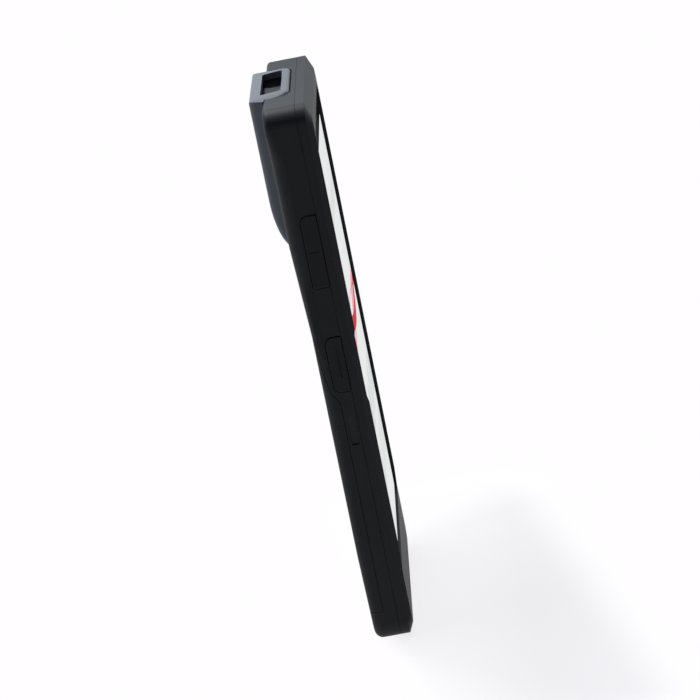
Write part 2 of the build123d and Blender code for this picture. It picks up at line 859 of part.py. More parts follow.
with BuildPart() as scanner_cover:
    add(bump_form(0.0))
    add(body_back_clear, mode=Mode.SUBTRACT)
    add(bump_form(bump_wall), mode=Mode.SUBTRACT)
    slab(2 * foot_half, foot_low, frame_low + frame_proud, foot_front_y, foot_back_y,
         foot_corner_r)
    slab(2 * (foot_half - foot_wall), foot_low + foot_wall, frame_low + overcut,
         foot_front_y - overcut, foot_back_y + foot_lap, mode=Mode.SUBTRACT)
    add(window_frame.part)
    block(window_w + 2 * slip, window_y - window_h / 2 - slip, window_y + window_h / 2 + slip,
          frame_low - overcut, window_seat, mode=Mode.SUBTRACT)
    block(window_open_w, window_open_low_y, window_open_high_y, frame_low, frame_top,
          window_open_r, mode=Mode.SUBTRACT)
    add(frame_slopes.part, mode=Mode.SUBTRACT)
    peg(camera_x, camera_z, camera_ring_d + 2 * screw_slip, camera_seat_y, bump_y,
        mode=Mode.SUBTRACT)
    peg(camera_x, camera_z, camera_window_d - 2 * camera_seat_lip, bump_in_y, bump_y,
        mode=Mode.SUBTRACT)
    peg(flash_x, camera_z, flash_d + 2 * screw_slip, bump_in_y, bump_y, mode=Mode.SUBTRACT)

# ---- battery cover: thin moulded lid that wraps onto both sides ----
with BuildPart() as battery_cover:
    add(body_back)
    add(cover_zone(cover_gap), mode=Mode.INTERSECT)
    slab(body_w - 2 * cover_t, 0, body_l, seam_y, grip_y - cover_t, mode=Mode.SUBTRACT)

# ---- battery cover seal: soft ring in the groove round the bay ----
with BuildPart() as cover_seal:
    slab(2 * (seal_out_half - screw_slip), seal_low - seal_w + screw_slip,
         seal_high + seal_w - screw_slip, core_y - seal_t, core_y + slip,
         bay_corner_r + seal_in + seal_w - screw_slip)
    slab(2 * (seal_half + screw_slip), seal_low - screw_slip, seal_high + screw_slip,
         core_y - seal_t, core_y + slip, bay_corner_r + seal_in + screw_slip,
         mode=Mode.SUBTRACT)

# ---- glass and display ----
mesh_end_r = mesh_h / 2 - flat_end
with BuildPart() as cover_glass:
    slab(glass_w, glass_low, glass_high, rim_y + glass_drop, glass_back,
         glass_corner_r - slip)
    chamfer(cover_glass.faces().sort_by(Axis.Y)[0].outer_wire().edges(), glass_chamfer)
    slab(mesh_w, mesh_z - mesh_h / 2, mesh_z + mesh_h / 2, rim_y, glass_back,
         mesh_end_r, mode=Mode.SUBTRACT)

with BuildPart() as glass_adhesive:
    slab(glass_w, glass_low, glass_high, glass_back, ledge_y, glass_corner_r - slip)
    slab(opening_w, panel_low - fit_gap, panel_high + fit_gap, glass_back, ledge_y,
         panel_opening_r, mode=Mode.SUBTRACT)
    slab(mesh_w, earpiece_z - earpiece_h / 2, earpiece_z + earpiece_h / 2, glass_back,
         ledge_y, mode=Mode.SUBTRACT)
    peg(front_camera_x, front_camera_z, front_camera_side, glass_back, ledge_y,
        mode=Mode.SUBTRACT)

with BuildPart() as display_panel:
    slab(panel_w, panel_low, panel_high, panel_y, panel_y + panel_t)

with BuildPart() as earpiece_mesh:
    slab(mesh_w - 2 * screw_slip, mesh_z - mesh_h / 2 + screw_slip,
         mesh_z + mesh_h / 2 - screw_slip, glass_back - glass_t + fit_gap,
         glass_back - fit_gap, mesh_end_r - screw_slip)

with BuildPart() as earpiece_receiver:
    slab(earpiece_w, earpiece_z - earpiece_h / 2, earpiece_z + earpiece_h / 2,
         ledge_y + slip, chassis_y)

with BuildPart() as front_camera:
    slab(front_camera_side, front_camera_z - front_camera_side / 2,
         front_camera_z + front_camera_side / 2, ledge_y + slip, chassis_y,
         x=front_camera_x)
    peg(front_camera_x, front_camera_z, front_camera_side * barrel_share, glass_back + slip,
        ledge_y + slip)

# ---- chassis plate: pressed metal plate behind the display, with the standoffs ----
board_screw_tip = chassis_y + slip
main_screws = [(main_board_w / 2 - main_screw_in, main_board_low + main_screw_end),
               (frame_half + frame_screw_gap, main_board_high - main_screw_end)]
bottom_screws = [(bottom_board_w / 2 - bottom_screw_in, bottom_board_low + bottom_screw_up)]
board_screw_places = main_screws + bottom_screws
with BuildPart() as chassis_plate:
    slab(2 * inner_half - 2 * slip, end_wall + slip, inner_high - slip, chassis_y,
         chassis_back, corner_r - side_wall)
    for side in (-1, 1):
        for x, z in board_screw_places:
            peg(side * x, z, standoff_d, chassis_back, board_y)
        for z in (screw_low, screw_high):
            peg(side * screw_x, z, standoff_d, chassis_back, seam_y)
            peg(side * screw_x, z, long_screw_d + 2 * screw_slip, chassis_y, seam_y,
                mode=Mode.SUBTRACT)
        peg(side * head_screw_x, head_screw_z, standoff_d, chassis_back, seam_y)
        peg(side * head_screw_x, head_screw_z, long_screw_d + 2 * screw_slip, chassis_y,
            seam_y, mode=Mode.SUBTRACT)
        for x, z in board_screw_places:
            peg(side * x, z, screw_d + 2 * screw_slip, chassis_y, board_y,
                mode=Mode.SUBTRACT)
        for z in chassis_screw_places:
            peg(side * chassis_screw_x, z, screw_d + 2 * screw_slip, chassis_y,
                chassis_back, mode=Mode.SUBTRACT)

# ---- screws: one node for each length ----
with BuildPart() as chassis_screws:
    for side in (-1, 1):
        for z in chassis_screw_places:
            peg(side * chassis_screw_x, z, screw_d, chassis_screw_tip, chassis_back)
            peg(side * chassis_screw_x, z, screw_head_d, chassis_back,
                chassis_back + screw_head_h)

with BuildPart() as board_screws:
    for side in (-1, 1):
        for x, z in board_screw_places:
            peg(side * x, z, screw_d, board_screw_tip, board_back)
            peg(side * x, z, screw_head_d, board_back, board_back + screw_head_h)

with BuildPart() as housing_screws:
    for side in (-1, 1):
        for z in (screw_low, screw_high):
            peg(side * screw_x, z, long_screw_d, chassis_y + slip, counterbore_y)
            peg(side * screw_x, z, long_head_d, counterbore_y, counterbore_y + long_head_h)
            peg(side * screw_x, z, long_screw_d * drive_share,
                counterbore_y + long_head_h - drive_depth, counterbore_y + long_head_h,
                mode=Mode.SUBTRACT)

with BuildPart() as head_screws:
    for side in (-1, 1):
        peg(side * head_screw_x, head_screw_z, long_screw_d, chassis_y + slip,
            head_counterbore_y)
        peg(side * head_screw_x, head_screw_z, long_head_d, head_counterbore_y,
            head_counterbore_y + long_head_h)
        peg(side * head_screw_x, head_screw_z, long_screw_d * drive_share,
            head_counterbore_y + long_head_h - drive_depth,
            head_counterbore_y + long_head_h, mode=Mode.SUBTRACT)

# ---- main board and what is soldered to it ----
board_hole_d = standoff_d + 2 * board_hole_ring
can_back = board_back + can_t
with BuildPart() as main_board:
    slab(main_board_w, main_board_low, main_board_high, board_y, board_back,
         board_corner_r)
    for side in (-1, 1):
        peg(side * head_screw_x, head_screw_z, board_hole_d, board_y, board_back,
            mode=Mode.SUBTRACT)
        for x, z in main_screws:
            peg(side * x, z, screw_d + 2 * screw_slip, board_y, board_back,
                mode=Mode.SUBTRACT)

can_high = engine_low - engine_flex_drop - can_flex_gap
with BuildPart() as shield_cans:
    for x, width, up, _ in cans:
        low = main_board_low + up
        slab(width, low, can_high, board_back, can_back, board_corner_r, x=x)
        slab(width - 2 * can_wall, low + can_wall, can_high - can_wall, board_back,
             can_back - can_wall, board_corner_r - can_wall, x=x, mode=Mode.SUBTRACT)

with BuildPart() as board_chips:
    for _, _, up, chips in cans:
        low = main_board_low + up + can_wall
        reach = can_high - can_wall - low
        for x, width, low_share, high_share in chips:
            slab(width, low + low_share * reach, low + high_share * reach, board_back,
                 board_back + chip_t, x=x)

with BuildPart() as card_socket:
    block(card_w, board_back, board_back + card_t, bay_high + fit_gap,
          main_board_low + card_lap, x=card_x)
    block(card_w - 2 * card_side_wall, board_back + card_wall,
          board_back + card_t - card_wall, bay_high, bay_high + card_l, x=card_x,
          mode=Mode.SUBTRACT)

# ---- bottom board with the data port, speaker, motor, microphone and contacts ----
with BuildPart() as bottom_board:
    slab(bottom_board_w, bottom_board_low, bottom_board_high, board_y, board_back,
         board_corner_r)
    for side in (-1, 1):
        for x, z in bottom_screws:
            peg(side * x, z, screw_d + 2 * screw_slip, board_y, board_back,
                mode=Mode.SUBTRACT)

usb_high = usb_sink + usb_l
usb_in_high = usb_high - usb_back_wall
with BuildPart() as usb_port_shell:
    block(usb_w, board_back, board_back + usb_t, usb_sink, usb_high, port_round - fit_gap)
    block(usb_w - 2 * usb_wall, board_back + usb_wall, board_back + usb_t - usb_wall,
          usb_sink, usb_in_high, port_round - fit_gap - usb_wall, mode=Mode.SUBTRACT)

with BuildPart() as usb_tongue:
    block(usb_w - 2 * tongue_side, usb_y - tongue_t / 2, usb_y + tongue_t / 2,
          usb_sink + tongue_sink, usb_in_high)

with BuildPart() as speaker:
    block(speaker_w, board_back, board_back + speaker_t, end_wall + speaker_end_gap,
          bottom_board_high - speaker_top_gap, speaker_corner_r, x=speaker_x)
    notch_low = end_wall + speaker_notch_up
    for side in (-1, 1):
        block(speaker_notch, board_back, board_back + speaker_notch, notch_low,
              notch_low + speaker_notch_l, x=speaker_x + side * speaker_w / 2,
              mode=Mode.SUBTRACT)

with BuildPart() as speaker_mesh:
    block(speaker_w, board_back + fit_gap, board_back + speaker_t - fit_gap, end_wall,
          end_wall + speaker_mesh_t, x=speaker_x)

with BuildPart() as vibration_motor:
    peg(motor_x, bottom_board_low + motor_up, motor_d, board_back, board_back + motor_t)

with BuildPart() as microphone:
    block(mic_w, board_back, board_back + mic_t, end_wall + fit_gap,
          end_wall + fit_gap + mic_l, x=mic_x)

with BuildPart() as charging_contacts:
    for i in range(contact_count):
        block(contact_w, board_back, board_back + contact_t, contact_sink,
              end_wall + contact_lap, x=contact_x + i * contact_pitch)

with BuildPart() as board_flex:
    slab(flex_w, bottom_board_high - flex_lap, main_board_low + flex_lap, board_y - flex_t,
         board_y, x=flex_x)

# ---- side keys, their switch boards and domes ----
def side_key(side, low, high, flange_low, flange_high, stop_gap, foot_r=key_round):
    """Key cap with its inner flange, which stops short of the wall by the stop gap."""
    near = inner_half - stop_gap
    with BuildPart() as key:
        side_plate(side, near, half_w + key_proud, key_low_y, key_high_y, low, high,
                   key_round, foot_r, key_front_r)
        outer = key.faces().sort_by(Axis.X)[0 if side < 0 else -1]
        fillet(outer.outer_wire().edges(), key_edge_r)
        side_plate(side, key_inner_x, near, key_flange_low_y,
                   key_high_y + key_flange_side, flange_low, flange_high, key_round)
    return key.part


def nub(side, z, tip_x, root_x):
    """Small round presser on the inner side of a key, from its tip to its root."""
    with BuildPart() as presser:
        with BuildSketch(Plane.YZ.offset(side * tip_x)) as face:
            with Locations((key_mid_y, z)):
                Circle(key_nub_d / 2)
        extrude(face.sketch, amount=side * (root_x - tip_x))
    return presser.part


press_tip_x = key_inner_x - key_nub_h
rocker_tip_x = dome_top_x + rocker_travel + slip
rocker_root_x = inner_half - rocker_stop_gap
with BuildPart() as volume_key:
    add(side_key(-1, volume_low, volume_high, volume_mid - rocker_flange / 2,
                 volume_mid + rocker_flange / 2, rocker_stop_gap, volume_foot_r))
    for z in (volume_mid - rocker_arm, volume_mid + rocker_arm):
        add(nub(-1, z, rocker_tip_x, rocker_root_x))
    side_plate(-1, half_w + key_proud - groove_depth, half_w + overcut,
               key_low_y + groove_side_in, key_high_y - groove_side_in,
               volume_mid - groove_w / 2, volume_mid + groove_w / 2, mode=Mode.SUBTRACT)


def scan_key(side):
    """Scan key: long cap with a finger groove along the front of its top."""
    with BuildPart() as key:
        add(side_key(side, scan_key_low, scan_key_high, scan_key_low - key_flange_end,
                     scan_key_high + key_flange_end, slip))
        add(nub(side, scan_key_mid, press_tip_x, key_inner_x))
        side_plate(side, half_w + key_proud - dish_depth, half_w + overcut,
                   key_low_y + dish_front_in, key_low_y + dish_front_in + dish_w,
                   scan_key_low + dish_low_in, scan_key_high - dish_high_in,
                   dish_w / 2 - flat_end, mode=Mode.SUBTRACT)
    return key.part


with BuildPart() as left_scan_key:
    add(scan_key(-1))

with BuildPart() as right_scan_key:
    add(scan_key(1))

with BuildPart() as power_key:
    add(side_key(1, power_low, power_high, power_low - key_flange_end,
                 power_high + key_flange_end, slip))
    add(nub(1, power_mid, press_tip_x, key_inner_x))

with BuildPart() as left_key_board:
    side_plate(-1, pocket_x, key_board_x, seam_y + fit_gap, key_high_y, key_board_low,
               key_board_high)

with BuildPart() as right_key_board:
    side_plate(1, pocket_x, key_board_x, seam_y + fit_gap, key_high_y, key_board_low,
               key_board_high)

dome_places = [(-1, volume_mid - rocker_arm), (-1, volume_mid + rocker_arm),
               (-1, scan_key_mid), (1, scan_key_mid), (1, power_mid)]
with BuildPart() as switch_domes:
    for side, z in dome_places:
        with BuildSketch(Plane.YZ.offset(side * key_board_x)) as face:
            with Locations((key_mid_y, z)):
                Circle(dome_d / 2)
        extrude(face.sketch, amount=side * dome_h)

# ---- scanner parts behind the window ----
with BuildPart() as window_gasket:
    block(window_w, window_y - window_h / 2, window_y + window_h / 2, window_seat - gasket_t,
          window_seat)
    block(window_open_w, window_open_low_y, window_open_high_y, window_seat - gasket_t,
          window_seat, window_open_r, mode=Mode.SUBTRACT)

with BuildPart() as scan_window:
    block(window_w, window_y - window_h / 2, window_y + window_h / 2,
          window_seat - gasket_t - window_t, window_seat - gasket_t)

engine_y = engine_low_y + engine_t / 2
engine_high = engine_low + engine_l
eye_w = (engine_w - engine_eye_gap) / 2
eye_x = (engine_w + engine_eye_gap) / 4
with BuildPart() as scan_engine:
    block(engine_w, engine_low_y, engine_low_y + engine_t, engine_low, engine_high,
          engine_corner_r)
    for side in (-1, 1):
        block(eye_w, engine_low_y + engine_eye_in, engine_low_y + engine_t - engine_eye_in,
              engine_high, engine_high + engine_eye_h, x=side * eye_x)
    with BuildSketch(Plane.XY.offset(engine_high + engine_eye_h)) as bores:
        with Locations((eye_x, engine_y)):
            Circle(lens_d / 2 + screw_slip)
        with Locations((-eye_x, engine_y)):
            with GridLocations(eye_w / 2, 1, 2, 1):
                Circle(light_d / 2 + screw_slip)
    extrude(bores.sketch, amount=-engine_eye_h, mode=Mode.SUBTRACT)

with BuildPart() as engine_lens:
    with BuildSketch(Plane.XY.offset(engine_high)) as face:
        with Locations((eye_x, engine_y)):
            Circle(lens_d / 2)
    extrude(face.sketch, amount=engine_eye_h - lens_sink)

with BuildPart() as engine_lights:
    with BuildSketch(Plane.XY.offset(engine_high)) as face:
        with Locations((-eye_x, engine_y)):
            with GridLocations(eye_w / 2, 1, 2, 1):
                Circle(light_d / 2)
    extrude(face.sketch, amount=engine_eye_h - lens_sink)

bracket_half = engine_w / 2 + bracket_side
bracket_foot_x = bracket_half - bracket_foot_side
bracket_low = engine_low - overcut
bracket_high = frame_low - fit_gap
bracket_y = engine_low_y - bracket_t
with BuildPart() as engine_bracket:
    block(2 * bracket_half, bracket_y, engine_low_y, bracket_low, bracket_high)
    for side in (-1, 1):
        block(bracket_t, bracket_y, engine_low_y + bracket_arm, engine_low, bracket_high,
              x=side * (engine_w / 2 + bracket_t / 2))
        for z in (engine_low + bracket_foot_in, bracket_high - bracket_foot_in):
            peg(side * bracket_foot_x, z, bracket_foot_d, board_back, bracket_y)

engine_flex_y = engine_low_y + overcut
engine_flex_z = engine_low - engine_flex_drop
with BuildPart() as engine_flex:
    block(engine_flex_w, engine_flex_y, engine_flex_y + flex_t, engine_flex_z, engine_low)
    block(engine_flex_w, board_back, engine_flex_y, engine_flex_z, engine_flex_z + flex_t)

# ---- rear camera and flash ----
camera_tip = bump_in_y - fit_gap
camera_body_back = camera_tip - camera_nose_h
camera_body_front = camera_body_back - camera_t
camera_foot = camera_side * camera_foot_share
with BuildPart() as camera_module:
    slab(camera_side, camera_z - camera_side / 2, camera_z + camera_side / 2,
         camera_body_front, camera_body_back, x=camera_x)
    peg(camera_x, camera_z, camera_foot, camera_body_back, camera_tip)
    slab(camera_foot, camera_z - camera_foot / 2, camera_z + camera_foot / 2, can_back,
         camera_body_front, x=camera_x)

with BuildPart() as camera_ring:
    peg(camera_x, camera_z, camera_ring_d, camera_seat_y, bump_y + camera_ring_proud)
    chamfer(camera_ring.faces().sort_by(Axis.Y)[-1].outer_wire().edges(),
            camera_ring_chamfer)
    peg(camera_x, camera_z, camera_window_d + 2 * screw_slip, camera_seat_y,
        bump_y + camera_ring_proud, mode=Mode.SUBTRACT)

with BuildPart() as camera_window:
    peg(camera_x, camera_z, camera_window_d, camera_seat_y, bump_y)

with BuildPart() as flash_light_pipe:
    peg(flash_x, camera_z, flash_d, bump_in_y - flash_flange, bump_y - screw_slip)
    peg(flash_x, camera_z, flash_d * barrel_share, can_back + led_t, bump_in_y - flash_flange)

with BuildPart() as flash_led:
    slab(led_side, camera_z - led_side / 2, camera_z + led_side / 2, can_back,
         can_back + led_t, x=flash_x)

# ---- battery, its contacts and the antenna sheet on it ----
battery_back = bay_floor + slip + battery_t
battery_high = bay_high - battery_gap
pad_front = bay_floor + overcut
pad_places = [(i - (pad_count - 1) / 2) * pad_pitch for i in range(pad_count)]
connector_low = bay_high + fit_gap
with BuildPart() as battery_pack:
    slab(bay_w - 2 * battery_gap, bay_low + battery_gap, battery_high, bay_floor + slip,
         battery_back, bay_corner_r - battery_gap)
    fillet(battery_pack.edges().filter_by(Axis.Z), battery_edge_r)

with BuildPart() as battery_pads:
    for x in pad_places:
        block(pad_w, pad_front, pad_front + pad_h, battery_high, battery_high + pad_t, x=x)

with BuildPart() as antenna_sheet:
    slab(bay_w - 2 * antenna_side_in, bay_low + antenna_low_in, bay_high - antenna_high_in,
         battery_back, battery_back + flex_t, sheet_corner_r)

tab_x = bay_w / 2 - battery_gap - tab_side_in - tab_w / 2
with BuildPart() as battery_pull_tab:
    slab(tab_w, bay_high - tab_in - tab_l, bay_high - tab_in, battery_back,
         battery_back + flex_t, sheet_corner_r, x=tab_x)

with BuildPart() as battery_connector:
    block(connector_w, board_back, connector_back, connector_low,
          main_board_low + connector_reach)
    for x in pad_places:
        block(pad_w, pad_front - spring_in, pad_front + pad_h + spring_in, connector_low,
              connector_low + spring_l, x=x, mode=Mode.SUBTRACT)

with BuildPart() as battery_springs:
    for x in pad_places:
        block(pad_w - 2 * spring_in, pad_front + spring_in, pad_front + pad_h - spring_in,
              battery_high + pad_t + slip, connector_low + spring_l, x=x)

# ---- export ----
pieces = {
    "front_housing": front_housing,
    "rear_housing": rear_housing,
    "scanner_cover": scanner_cover,
    "battery_cover": battery_cover,
    "cover_seal": cover_seal,
    "cover_glass": cover_glass,
    "glass_adhesive": glass_adhesive,
    "display_panel": display_panel,
    "earpiece_mesh": earpiece_mesh,
    "earpiece_receiver": earpiece_receiver,
    "front_camera": front_camera,
    "chassis_plate": chassis_plate,
    "chassis_screws": chassis_screws,
    "board_screws": board_screws,
    "housing_screws": housing_screws,
    "head_screws": head_screws,
    "main_board": main_board,
    "shield_cans": shield_cans,
    "board_chips": board_chips,
    "card_socket": card_socket,
    "bottom_board": bottom_board,
    "usb_port_shell": usb_port_shell,
    "usb_tongue": usb_tongue,
    "speaker": speaker,
    "speaker_mesh": speaker_mesh,
    "vibration_motor": vibration_motor,
    "microphone": microphone,
    "charging_contacts": charging_contacts,
    "board_flex": board_flex,
    "volume_key": volume_key,
    "left_scan_key": left_scan_key,
    "right_scan_key": right_scan_key,
    "power_key": power_key,
    "left_key_board": left_key_board,
    "right_key_board": right_key_board,
    "switch_domes": switch_domes,
    "window_gasket": window_gasket,
    "scan_window": scan_window,
    "scan_engine": scan_engine,
    "engine_lens": engine_lens,
    "engine_lights": engine_lights,
    "engine_bracket": engine_bracket,
    "engine_flex": engine_flex,
    "camera_module": camera_module,
    "camera_ring": camera_ring,
    "camera_window": camera_window,
    "flash_light_pipe": flash_light_pipe,
    "flash_led": flash_led,
    "battery_pack": battery_pack,
    "battery_pads": battery_pads,
    "antenna_sheet": antenna_sheet,
    "battery_pull_tab": battery_pull_tab,
    "battery_connector": battery_connector,
    "battery_springs": battery_springs,
}
for name, piece in pieces.items():
    piece.part.label = name
    export_step(piece.part, f"parts/{name}.step")
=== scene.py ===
import math

import bmesh
import bpy
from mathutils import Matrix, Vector


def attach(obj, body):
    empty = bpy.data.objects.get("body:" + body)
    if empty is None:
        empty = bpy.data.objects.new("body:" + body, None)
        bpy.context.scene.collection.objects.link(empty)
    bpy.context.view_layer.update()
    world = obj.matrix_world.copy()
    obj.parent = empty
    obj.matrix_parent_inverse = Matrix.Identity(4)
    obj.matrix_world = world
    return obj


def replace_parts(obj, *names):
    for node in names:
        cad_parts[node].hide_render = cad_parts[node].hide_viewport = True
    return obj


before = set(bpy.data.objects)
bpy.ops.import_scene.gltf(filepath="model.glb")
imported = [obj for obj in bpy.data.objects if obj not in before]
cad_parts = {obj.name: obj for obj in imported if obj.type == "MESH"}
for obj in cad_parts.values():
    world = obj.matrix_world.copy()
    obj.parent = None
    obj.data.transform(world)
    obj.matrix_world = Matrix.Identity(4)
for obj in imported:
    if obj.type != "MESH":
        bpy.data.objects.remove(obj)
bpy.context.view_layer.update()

# ---- Camera ----
# A long lens looks at the left side of the terminal from a little above, with the screen
# nearly edge on. The picture is square.
camera_data = bpy.data.cameras.new("camera")
camera_data.sensor_width = 36.0
camera_data.lens = 147.35
camera_data.clip_start = 0.01
camera_data.clip_end = 50.0
camera = bpy.data.objects.new("camera", camera_data)
bpy.context.scene.collection.objects.link(camera)
camera.location = (-0.797328, -0.045673, 0.316647)
camera.rotation_euler = (1.273028, 0.192166, -1.577708)
bpy.context.scene.camera = camera


# ---- Front housing ----
# The frame that carries the glass is injection moulded in black polycarbonate, with a raised
# rim and a chin. The tool leaves a fine even grain on it, and its edges shine a little from
# the pocket.
class Value:
    """A number on a node's socket. Maths on it adds Math nodes."""

    def __init__(self, network, socket):
        self.network = network
        self.socket = socket

    def maths(self, operation, *values):
        made = self.network.node("ShaderNodeMath", {"operation": operation}, dict(enumerate(values)))
        return Value(self.network, made.outputs[0])

    def __add__(self, other):
        return self.maths("ADD", self, other)

    def __radd__(self, other):
        return self.maths("ADD", other, self)

    def __sub__(self, other):
        return self.maths("SUBTRACT", self, other)

    def __rsub__(self, other):
        return self.maths("SUBTRACT", other, self)

    def __mul__(self, other):
        return self.maths("MULTIPLY", self, other)

    def __rmul__(self, other):
        return self.maths("MULTIPLY", other, self)

    def __mod__(self, other):
        return self.maths("FLOORED_MODULO", self, other)

    def __abs__(self):
        return self.maths("ABSOLUTE", self)

    def most(self, other):
        return self.maths("MAXIMUM", self, other)

    def least(self, other):
        return self.maths("MINIMUM", self, other)

    def sine(self):
        return self.maths("SINE", self)

    def length(self, other):
        return self.maths("SQRT", self * self + other * other)

    def below(self, edge, soft):
        """1 where the value is under the edge, 0 above it, with a soft step between."""
        step = self.network.node(
            "ShaderNodeMapRange",
            {"interpolation_type": "SMOOTHSTEP"},
            {"Value": self, "From Min": edge - soft / 2, "From Max": edge + soft / 2,
             "To Min": 1.0, "To Max": 0.0},
        )
        return Value(self.network, step.outputs["Result"])


class Network:
    """A node tree of a material or the world. All its nodes come from node()."""

    def __init__(self, owner, output, place):
        owner.use_nodes = True
        self.tree = owner.node_tree
        self.tree.nodes.clear()
        self.output = self.node(output)
        self.spot = self.node("ShaderNodeTexCoord").outputs[place]

    def node(self, kind, settings=None, inputs=None):
        made = self.tree.nodes.new(kind)
        for key, value in (settings or {}).items():
            setattr(made, key, value)
        for key, value in (inputs or {}).items():
            if isinstance(value, Value):
                value = value.socket
            if isinstance(value, bpy.types.NodeSocket):
                self.tree.links.new(value, made.inputs[key])
            else:
                made.inputs[key].default_value = value
        return made

    def ray(self, *kinds):
        """1 for rays of one of these kinds, and 0 for the rest."""
        path = self.node("ShaderNodeLightPath")
        found = Value(self, path.outputs[f"Is {kinds[0]} Ray"])
        for kind in kinds[1:]:
            found = found.most(Value(self, path.outputs[f"Is {kind} Ray"]))
        return found

    def blend(self, share, first, second):
        """A shader between two shaders."""
        made = self.node("ShaderNodeMixShader", None, {0: share, 1: first, 2: second})
        return made.outputs[0]

    def show(self, surface):
        self.tree.links.new(surface, self.output.inputs["Surface"])

    def axes(self):
        """Where the point is, in metres, as three numbers."""
        made = self.node("ShaderNodeSeparateXYZ", None, {"Vector": self.spot})
        return [Value(self, made.outputs[i]) for i in range(3)]


class Finish(Network):
    """A node material, with the patterns that the finishes below are made of."""

    def __init__(self, name):
        self.material = bpy.data.materials.new(name)
        super().__init__(self.material, "ShaderNodeOutputMaterial", "Object")

    def noise(self, size, detail=3.0, rough=0.55):
        """Cloudy noise whose lumps are about that size in metres."""
        made = self.node(
            "ShaderNodeTexNoise",
            None,
            {"Vector": self.spot, "Scale": 1 / size, "Detail": detail, "Roughness": rough},
        )
        return Value(self, made.outputs["Fac"])

    def cells(self, size):
        """How far the nearest of many scattered points is, where they lie that far apart."""
        made = self.node("ShaderNodeTexVoronoi", None, {"Vector": self.spot, "Scale": 1 / size})
        return Value(self, made.outputs["Distance"])

    def edge(self, radius):
        """1 on an edge sharper than the radius and 0 on flat faces."""
        rounded = self.node("ShaderNodeBevel", {"samples": 8}, {"Radius": radius})
        true = self.node("ShaderNodeNewGeometry")
        dot = self.node(
            "ShaderNodeVectorMath",
            {"operation": "DOT_PRODUCT"},
            {0: rounded.outputs["Normal"], 1: true.outputs["Normal"]},
        )
        gain = 5.0
        return ((1 - Value(self, dot.outputs["Value"])) * gain).least(1.0)

    def mix(self, share, first, second):
        """A colour between two colours."""
        made = self.node(
            "ShaderNodeMix",
            {"data_type": "RGBA", "clamp_factor": True},
            {"Factor": share, 6: first, 7: second},
        )
        return made.outputs[2]

    def bump(self, height, depth):
        """The surface as if it rose by the height, where 1 is that depth in metres."""
        made = self.node("ShaderNodeBump", None, {"Height": height, "Distance": depth, "Strength": 1.0})
        return made.outputs["Normal"]

    def shader(self, base, rough, **more):
        inputs = {"Base Color": base, "Roughness": rough}
        inputs.update({key.replace("_", " "): value for key, value in more.items()})
        return self.node("ShaderNodeBsdfPrincipled", None, inputs).outputs["BSDF"]


def srgb(red, green, blue):
    """A colour given as it looks on a screen, from 0 to 255, as the shader's linear colour."""
    parts = [value / 255 for value in (red, green, blue)]
    return tuple(
        part / 12.92 if part <= 0.04045 else ((part + 0.055) / 1.055) ** 2.4 for part in parts
    ) + (1.0,)


def scaled(colour, by):
    return tuple(min(1.0, part * by) for part in colour[:3]) + (1.0,)


def dress(material, *nodes):
    """Puts a material on the model's own pieces."""
    for name in nodes:
        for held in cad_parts[name].material_slots:
            held.material = material


def moulded(name, colour, rough, level, grain=0.00022, depth=0.000006, wear=0.35):
    """Moulded plastic with a tool grain, a slow drift in tone and rubbed edges."""
    made = Finish(name)
    drift = made.noise(0.03, 2.0)
    fine = made.noise(grain, 2.0)
    rub = made.noise(0.004, 4.0, 0.6)
    edge = made.edge(0.0005) * (rub.below(0.52, 0.3)) * wear
    tone = made.mix(drift, scaled(colour, 0.88), scaled(colour, 1.12))
    tone = made.mix(fine.below(0.42, 0.16) * 0.18, tone, scaled(colour, 0.7))
    tone = made.mix(edge, tone, scaled(colour, 2.4))
    sheen = rough + (fine - 0.5) * 0.1 + (drift - 0.5) * 0.08 - edge * 0.15
    normal = made.bump(fine, depth)
    made.show(made.shader(tone, sheen, Normal=normal, Specular_IOR_Level=level))
    return made.material


shell_black = moulded("black_polycarbonate", srgb(16, 18, 25), 0.58, 0.26, wear=0.12)
dress(shell_black, "front_housing")

# ---- Display, glass and what sits behind the glass ----
# The display is a backlit panel bonded behind a toughened cover glass with a black border
# printed on its back, and a slot for the earpiece, closed by a woven mesh. The glass shows the
# same lit picture as the panel under it, so that no gap is seen between them.
screen_half = 0.03425
screen_low = 0.0213
screen_high = 0.1399
screen_corner = 0.0012
paper = srgb(241, 243, 243)
pink = srgb(243, 176, 186)
rose = srgb(231, 118, 134)
red = srgb(216, 58, 72)


